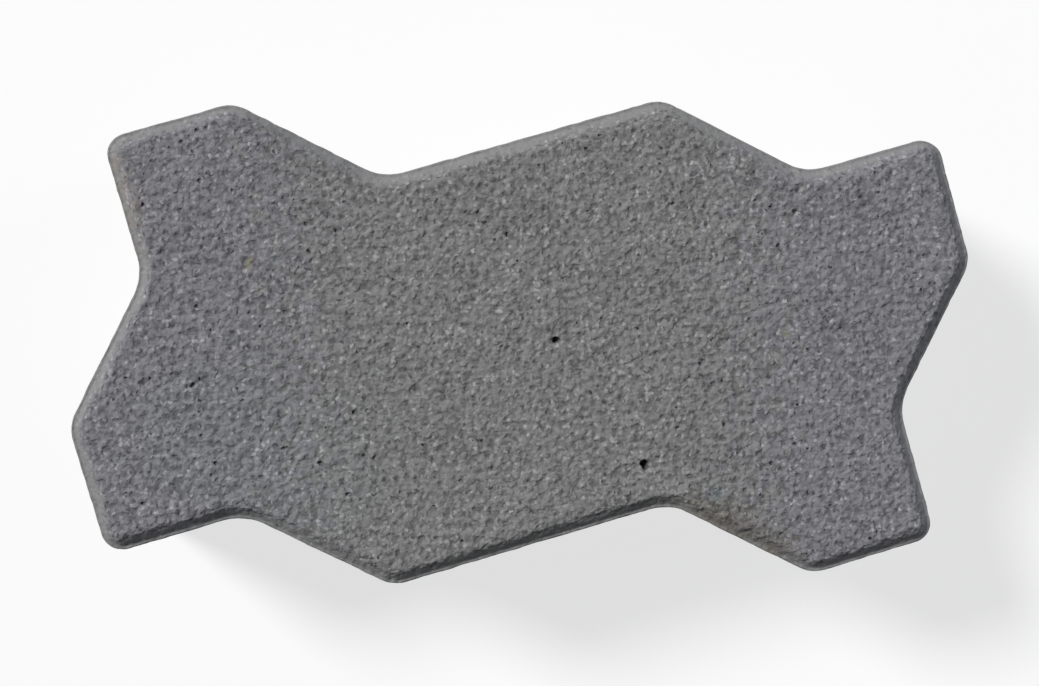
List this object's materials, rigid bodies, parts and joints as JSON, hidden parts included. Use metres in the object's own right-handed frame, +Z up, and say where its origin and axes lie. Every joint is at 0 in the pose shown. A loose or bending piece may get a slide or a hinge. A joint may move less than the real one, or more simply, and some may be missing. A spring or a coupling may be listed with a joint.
{
  "type": "zigzag interlocking concrete paving stone",
  "caption": "Flat concrete paving stone with a zigzag outline that locks into the stones laid beside it, a bevelled top edge and a granular walking face.",
  "frame": {"origin": "middle of the bed face, at the centre of the outline's box", "axes": "+X along the stone's long sides, +Y across it, +Z up from the bed face to the walking face"},
  "size_m": [0.2394, 0.1268, 0.06],
  "materials": {
    "concrete": "grey pressed concrete, matt, sandy on the walking face and smoother on the bevel"
  },
  "bodies": {
    "root": {"paving_stone": "concrete"}
  },
  "joints": []
}
